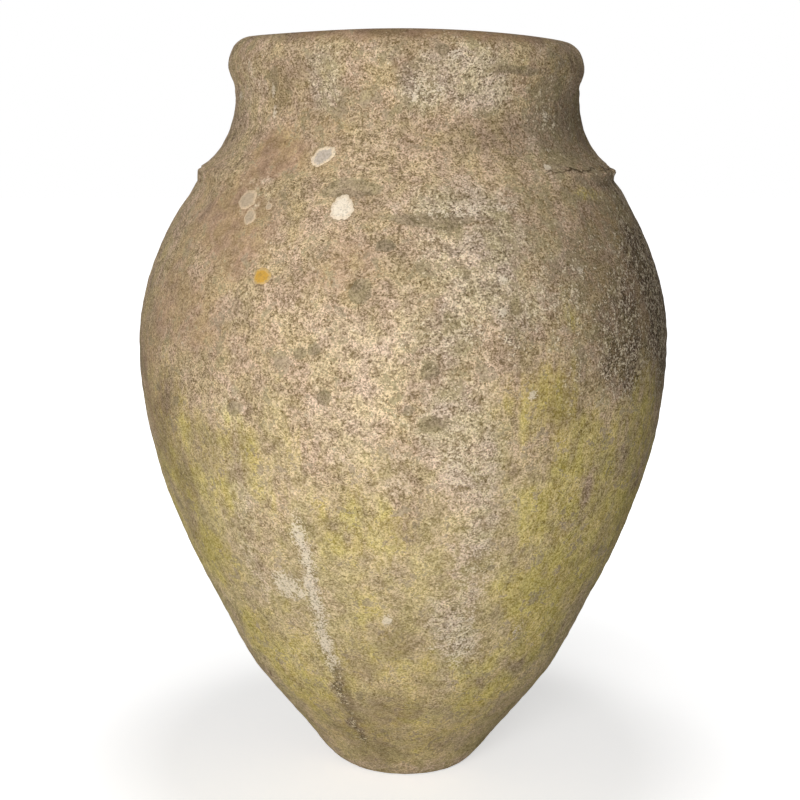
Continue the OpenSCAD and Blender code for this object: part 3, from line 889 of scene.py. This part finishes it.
def grain_group():
    """Grain from Object coordinates: 2, 3, 8, 25 and 50 mm across, upright streaks, and scattered dots."""
    if "clay grain" in bpy.data.node_groups:
        return bpy.data.node_groups["clay grain"]
    tree, _, out = new_group("clay grain", [], [(name, "Float") for name in GRAINS])
    where = node(tree, "ShaderNodeTexCoord").outputs["Object"]
    dots = node(tree, "ShaderNodeTexVoronoi", {"Vector": where, "Scale": 210}).outputs
    grits = node(tree, "ShaderNodeTexVoronoi", {"Vector": where, "Scale": 680}).outputs["Color"]
    links = {
        "Tiny": node(tree, "ShaderNodeSeparateColor", {"Color": grits}).outputs["Red"],
        "Fine": noise(tree, where, 330, 1.0, 0.5),
        "Middle": noise(tree, where, 125, 2.0, 0.6, 0.3),
        "Blotch": noise(tree, where, 44, 5.0, 0.65, 0.6),
        "Patch": noise(tree, where, 19, 5.0, 0.6, 0.5),
        "Hue": noise(tree, stretched(tree, where, -1, 1, -1), 38, 3.0, 0.55, 0.4),
        "Streak": noise(tree, stretched(tree, where, 1, 1, 0.09), 62, 3.0, 0.6),
        "Dots": math_of(tree, "MULTIPLY", between(tree, dots["Color"], 0.68, 0.90),
                        math_of(tree, "SUBTRACT", 1.0, between(tree, dots["Distance"], 0.05, 0.40))),
    }
    for name in GRAINS:
        tree.links.new(links[name], out[name])
    return tree


GRAINS = ("Tiny", "Fine", "Middle", "Blotch", "Patch", "Hue", "Streak", "Dots")

# Each growth changes the clay's dark and pale grains to its own. Its share is its cover plus the weights times
# the fine, middle, blotch, patch and streak grain (less a half each), eased between two limits, times its strength.
LAYERS = (
    ("rust", (0.1, 0.3, 0.6, 0.8, 0.3), (0.15, 0.95), 0.9),
    ("damp", (0.1, 0.2, 0.5, 0.8, 1.4), (0.10, 0.90), 1.0),
    ("grey", (0.4, 0.8, 1.2, 0.9, 0.8), (0.25, 0.95), 0.9),
    ("crust", (0.5, 1.1, 1.5, 1.0, 1.0), (0.30, 1.00), 0.9),
    ("ochre", (0.2, 0.6, 1.2, 1.1, 0.3), (0.30, 1.05), 0.8),
    ("algae", (0.0, 0.3, 0.9, 1.1, 1.5), (0.15, 1.05), 0.9),
    # The soot layer also paints the shade down the right side of the jar.
    ("soot", (0.8, 1.6, 2.0, 1.2, 0.4), (0.25, 0.95), 0.9),
    ("olive", (0.3, 0.4, 1.1, 0.0, 0.0), (0.07, 0.15), 0.9),
)
SKIN_COLOURS = ("clay_dark", "clay_light", *(kind + end for kind, *_ in LAYERS for end in ("_dark", "_light")),
                "chalk", "fleck", "pore", "pit", "grime", "crack_shade", "inner_clay")


def skin_group():
    """Colour, roughness and height of the weathered clay, from its grain, the cover of each growth and the painted
    shade.
    """
    if "weathered skin" in bpy.data.node_groups:
        return bpy.data.node_groups["weathered skin"]
    inputs = [(name, "Color", colour(name)) for name in SKIN_COLOURS]
    inputs += [("olive_tint", "Color", (0.985, 1.0, 0.93, 1)), ("pink_tint", "Color", (1.03, 1.0, 1.11, 1))]
    inputs += [("Speckle", "Float", 1.0)]
    tree, given, out = new_group(
        "weathered skin", inputs, [("Color", "Color"), ("Roughness", "Float"), ("Height", "Float")])
    grain = node(tree, "ShaderNodeGroup", node_tree=grain_group()).outputs
    tiny, fine, middle, blotch, patch, hue, streak, dots = (grain[name] for name in GRAINS)
    cover = {kind: cover_of(tree, kind) for kind in (*BLOTS, "crack_shade", "inside")}

    dark, light = given["clay_dark"], given["clay_light"]
    shares = {}
    for kind, weights, (low, high), strength in LAYERS:
        share = mixture(tree, [(cover[kind], 1.0), *zip((fine, middle, blotch, patch, streak), weights)],
                        -sum(weights) / 2)
        share = math_of(tree, "MULTIPLY", between(tree, share, low, high), strength)
        if kind != "olive":
            share = math_of(tree, "MULTIPLY", share, between(tree, cover[kind], 0.0, 0.15))
        shares[kind] = share
        dark = blend(tree, share, dark, given[kind + "_dark"])
        light = blend(tree, share, light, given[kind + "_light"])

    clumps = math_of(tree, "MULTIPLY", shares["soot"], math_of(tree, "SUBTRACT", middle, 0.5))
    speck = mixture(tree, [(tiny, 0.45), (fine, 0.45), (middle, 0.50), (blotch, 0.35), (clumps, 1.1)], -0.375)
    speck = between(tree, speck, 0.22, 0.78)
    even = mixture(tree, [(given["Speckle"], 1.0)])
    speck = mixture(tree, [(math_of(tree, "MULTIPLY", speck, even), 1.0), (even, -0.5)], 0.5)
    shade = blend(tree, speck, dark, light)
    mottle = mixture(tree, [(between(tree, middle, 0.3, 0.7), 0.08), (between(tree, blotch, 0.35, 0.65), 0.24),
                            (between(tree, patch, 0.3, 0.7), 0.22), (between(tree, streak, 0.3, 0.7), 0.10)], 0.68)
    shade = blend(tree, 1.0, shade, mottle, "MULTIPLY")
    tint = blend(tree, between(tree, hue, 0.34, 0.66), given["olive_tint"], given["pink_tint"])
    shade = blend(tree, 1.0, shade, tint, "MULTIPLY")

    pale = mixture(tree, [(cover["chalk"], 1.0), (middle, 1.2), (tiny, 0.9), (streak, 0.6)], -1.35)
    pale = between(tree, pale, 0.15, 0.75)
    pale = math_of(tree, "MULTIPLY", pale, between(tree, cover["chalk"], 0.0, 0.15))
    shade = blend(tree, math_of(tree, "MULTIPLY", pale, 0.75), shade, given["chalk"])

    # Grime darkens the clay, and paints the shade along the top of the rim.
    dirt_and_shade = between(tree, mixture(tree, [(cover["grime"], 1.0), (middle, 0.8), (fine, 0.5)], -0.65), 0.1, 0.9)
    shade = blend(tree, math_of(tree, "MULTIPLY", dirt_and_shade, 0.5), shade, given["grime"], "MULTIPLY")

    crusted = [(shares["crust"], 0.06), (shares["grey"], 0.09), (shares["soot"], 0.20), (shares["olive"], -0.06)]
    flecks = between(tree, mixture(tree, [(fine, 0.7), (tiny, 0.25), (middle, 0.5), *crusted]), 0.96, 1.04)
    sown = between(tree, mixture(tree, [(patch, 1.0), (cover["grey"], 0.15), (cover["soot"], 0.20)]), 0.48, 0.66)
    flecks = math_of(tree, "MAXIMUM", flecks, math_of(tree, "MULTIPLY", dots, sown))
    tinged = mixture(tree, [(shares["algae"], 0.6), (shares["damp"], 0.3)])
    fleck = blend(tree, tinged, given["fleck"], given["algae_light"])
    shade = blend(tree, math_of(tree, "MULTIPLY", flecks, 0.75), shade, fleck)
    pores = between(tree, mixture(tree, [(fine, -1.0), (tiny, -0.2), (middle, -0.4), *crusted], 1.15), 0.56, 0.70)
    shade = blend(tree, math_of(tree, "MULTIPLY", pores, 0.6), shade, given["pit"], "MULTIPLY")
    # Painted shade in the crack along the band and its drag marks.
    shade = blend(tree, between(tree, mixture(tree, [(cover["crack_shade"], 1.0), (fine, 0.4)], -0.2), 0.25, 0.9), shade,
                  given["crack_shade"])

    plain = blend(tree, speck, given["pore"], given["inner_clay"])
    shade = blend(tree, between(tree, cover["inside"], 0.15, 0.85), shade, plain)
    tree.links.new(shade, out["Color"])

    rough = mixture(tree, [(fine, 0.12), (shares["olive"], -0.12)], 0.86)
    tree.links.new(rough, out["Roughness"])
    height = mixture(tree, [(fine, 1.0), (tiny, 0.5), (middle, 0.8), (speck, 0.2), (pores, -0.5), (pale, 0.3)])
    tree.links.new(height, out["Height"])
    return tree


def clay_material(name, relief=0.0006, speckle=1.0):
    """Unglazed clay: the weathered skin on a rough shader, with its height as bump."""
    if name in bpy.data.materials:
        return bpy.data.materials[name]
    material = bpy.data.materials.new(name)
    material.use_nodes = True
    tree = material.node_tree
    shader = tree.nodes["Principled BSDF"]
    skin = node(tree, "ShaderNodeGroup", node_tree=skin_group())
    skin.inputs["Speckle"].default_value = speckle
    bump = node(tree, "ShaderNodeBump", {"Height": skin.outputs["Height"], "Distance": relief, "Strength": 1.0})
    tree.links.new(skin.outputs["Color"], shader.inputs["Base Color"])
    tree.links.new(skin.outputs["Roughness"], shader.inputs["Roughness"])
    tree.links.new(bump.outputs["Normal"], shader.inputs["Normal"])
    shader.inputs["Specular IOR Level"].default_value = 0.25
    return material


def lichen_material(name, kind):
    """Dry lichen: its own colour in the middle, another at the rim, darker spots and fine wrinkles."""
    if name in bpy.data.materials:
        return bpy.data.materials[name]
    material = bpy.data.materials.new(name)
    material.use_nodes = True
    tree = material.node_tree
    shader = tree.nodes["Principled BSDF"]
    grain = node(tree, "ShaderNodeGroup", node_tree=grain_group()).outputs
    edge = mixture(tree, [(cover_of(tree, "away"), 1.0), (grain["Fine"], 0.5)], -0.25)
    shade = blend(tree, between(tree, edge, 0.62, 0.82), colour(kind), colour(kind + "_rim"))
    spots = mixture(tree, [(grain["Fine"], 0.8), (grain["Tiny"], 0.6)], -0.35)
    shade = blend(tree, math_of(tree, "MULTIPLY", between(tree, spots, 0.35, 0.62), 0.30), shade, colour("olive_dark"))
    bump = node(tree, "ShaderNodeBump", {"Height": grain["Fine"], "Distance": 0.0008, "Strength": 1.0})
    tree.links.new(shade, shader.inputs["Base Color"])
    tree.links.new(bump.outputs["Normal"], shader.inputs["Normal"])
    shader.inputs["Roughness"].default_value = 0.95
    shader.inputs["Specular IOR Level"].default_value = 0.2
    return material


class JAR_OT_add_foot(bpy.types.Operator):
    """Add the base slab, the foot section and the coil in their inner corner"""

    bl_idname = "jar.add_foot"
    bl_label = "Foot"

    def execute(self, context):
        clay = clay_material("worn_foot_clay", 0.0007, 0.8)
        add_ring("base_slab", slab_rows(), clay, poles=True)
        add_ring("foot_section", foot_rows(), clay)
        add_ring("corner_coil", coil_rows(), clay_material("plain_inner_clay", 0.0005, 0.5))
        return {"FINISHED"}


class JAR_OT_add_walls(bpy.types.Operator):
    """Add the sections of wall from the foot to the shoulder"""

    bl_idname = "jar.add_walls"
    bl_label = "Wall sections"

    def execute(self, context):
        clay = clay_material("weathered_skin_clay")
        sections = {
            "lower_section": wall_rows(FOOT_TOP, LOWER_TOP),
            "lower_belly_section": wall_rows(LOWER_TOP, BELLY, 0, BELLY_SPLIT),
            "upper_belly_section": wall_rows(LOWER_TOP, BELLY, BELLY_SPLIT, 1),
            "shoulder_section": shoulder_rows(),
        }
        for name, rows in sections.items():
            add_ring(name, rows, clay)
        return {"FINISHED"}


class JAR_OT_add_neck(bpy.types.Operator):
    """Add the luted band, the neck and the rolled rim"""

    bl_idname = "jar.add_neck"
    bl_label = "Band, neck and rim"

    def execute(self, context):
        clay = clay_material("weathered_skin_clay")
        for name, rows in (("luted_band", band_rows()), ("neck_section", neck_rows()), ("rim_roll", rim_rows())):
            add_ring(name, rows, clay)
        return {"FINISHED"}


class JAR_OT_add_lichens(bpy.types.Operator):
    """Add the grey, cream and orange lichen crusts on the shoulder and neck"""

    bl_idname = "jar.add_lichens"
    bl_label = "Lichens"

    def execute(self, context):
        relief = {"grey_lichen": (0.0012, 0.5), "beige_lichen": (0.0009, 0.3), "cream_lichen": (0.0016, 0.1),
                  "orange_lichen": (0.0014, 0.3)}
        for number, (kind, (thickness, rim)) in enumerate(relief.items()):
            mesh = rosette_mesh(kind, LICHENS[kind], thickness, rim, 300 + number)
            add_piece(kind, mesh, lichen_material("dry_" + kind, kind))
        return {"FINISHED"}


def soft_light(name, where, aim, size, power):
    """A square area light at a place, turned to face its aim."""
    lamp = bpy.data.lights.new(name, "AREA")
    lamp.shape = "RECTANGLE"
    lamp.size, lamp.size_y = size
    lamp.energy = power
    holder = bpy.data.objects.new(name, lamp)
    holder.location = where
    away = np.array(aim) - np.array(where)
    level = math.hypot(away[0], away[1])
    holder.rotation_euler = (math.pi / 2 + math.atan2(away[2], level), 0, math.atan2(-away[0], away[1]))
    bpy.context.scene.collection.objects.link(holder)
    return holder


def floor_material():
    """Plain pale floor: white where the camera sees it lit, a little darker in the jar's shadow."""
    material = bpy.data.materials.new("pale_floor")
    material.use_nodes = True
    tree = material.node_tree
    tree.nodes.clear()
    ray = node(tree, "ShaderNodeLightPath").outputs["Is Camera Ray"]
    plain = node(tree, "ShaderNodeBsdfDiffuse", {"Color": (0.72, 0.72, 0.72, 1)})
    lit = node(tree, "ShaderNodeBsdfDiffuse", {"Color": (0.95, 0.95, 0.95, 1)})
    where = node(tree, "ShaderNodeTexCoord").outputs["Object"]
    away = node(tree, "ShaderNodeVectorMath", {0: where}, operation="LENGTH").outputs["Value"]
    strength = mixture(tree, [(between(tree, away, 0.35, 1.2), 0.52)], 0.53)
    glow = node(tree, "ShaderNodeEmission", {"Color": (1, 1, 1, 1), "Strength": strength})
    seen = node(tree, "ShaderNodeAddShader", {0: lit.outputs[0], 1: glow.outputs[0]})
    both = node(tree, "ShaderNodeMixShader", {0: ray, 1: plain.outputs[0], 2: seen.outputs[0]})
    out = node(tree, "ShaderNodeOutputMaterial")
    tree.links.new(both.outputs[0], out.inputs["Surface"])
    return material


class JAR_OT_set_stage(bpy.types.Operator):
    """Add the floor, the soft lights, the pale surroundings and the camera"""

    bl_idname = "jar.set_stage"
    bl_label = "Stage"

    def execute(self, context):
        scene = context.scene
        stage = scene.jar_stage
        half = stage.floor_size / 2
        mesh = bpy.data.meshes.new("floor")
        mesh.from_pydata([(-half, -half, 0), (half, -half, 0), (half, half, 0), (-half, half, 0)], [], [(0, 1, 2, 3)])
        mesh.materials.append(floor_material())
        floor = bpy.data.objects.new("floor", mesh)
        floor.location = (0, 0, -0.0005)
        scene.collection.objects.link(floor)

        soft_light("key_light", (-0.78, -2.88, 0.85), (0, 0, 0.5), (1.5, 1.3), stage.key_power)
        soft_light("top_light", (0, 0, 5.0), (0, 0.001, 0), (1.1, 1.1), stage.top_power)

        world = bpy.data.worlds.new("pale_surroundings")
        world.use_nodes = True
        tree = world.node_tree
        tree.nodes.clear()
        ray = node(tree, "ShaderNodeLightPath").outputs["Is Camera Ray"]
        dim = node(tree, "ShaderNodeBackground", {"Color": (1, 1, 1, 1), "Strength": stage.ambient})
        white = node(tree, "ShaderNodeBackground", {"Color": (1, 1, 1, 1), "Strength": 1.0})
        both = node(tree, "ShaderNodeMixShader", {0: ray, 1: dim.outputs[0], 2: white.outputs[0]})
        tree.links.new(both.outputs[0], node(tree, "ShaderNodeOutputWorld").inputs["Surface"])
        scene.world = world

        lens = bpy.data.cameras.new("camera")
        lens.lens = 70
        lens.sensor_width = 36
        lens.clip_end = 100
        camera = bpy.data.objects.new("camera", lens)
        camera.location = (-0.005, -stage.camera_distance, stage.camera_height)
        camera.rotation_euler = (math.pi / 2 - stage.camera_pitch, 0, 0)
        scene.collection.objects.link(camera)
        scene.camera = camera
        scene.view_settings.view_transform = "Standard"
        return {"FINISHED"}


class JAR_PT_panel(bpy.types.Panel):
    """The steps that build the jar, and its settings"""

    bl_idname = "JAR_PT_panel"
    bl_label = "Olive jar"
    bl_space_type = "VIEW_3D"
    bl_region_type = "UI"
    bl_category = "Olive jar"

    def draw(self, context):
        scene = context.scene
        for settings in (scene.jar_shape, scene.jar_colours, scene.jar_stage):
            box = self.layout.box()
            for name in settings.__annotations__:
                box.prop(settings, name)
        for operator in STEPS:
            self.layout.operator(operator.bl_idname)


STEPS = (JAR_OT_add_foot, JAR_OT_add_walls, JAR_OT_add_neck, JAR_OT_add_lichens, JAR_OT_set_stage)
CLASSES = (JarShape, JarColours, JarStage, *STEPS, JAR_PT_panel)


def register():
    for kind in CLASSES:
        bpy.utils.register_class(kind)
    bpy.types.Scene.jar_shape = PointerProperty(type=JarShape)
    bpy.types.Scene.jar_colours = PointerProperty(type=JarColours)
    bpy.types.Scene.jar_stage = PointerProperty(type=JarStage)


def unregister():
    del bpy.types.Scene.jar_shape
    del bpy.types.Scene.jar_colours
    del bpy.types.Scene.jar_stage
    for kind in reversed(CLASSES):
        bpy.utils.unregister_class(kind)


def main():
    register()
    bpy.ops.jar.add_foot()
    bpy.ops.jar.add_walls()
    bpy.ops.jar.add_neck()
    bpy.ops.jar.add_lichens()
    bpy.ops.jar.set_stage()


if __name__ == "__main__":
    main()
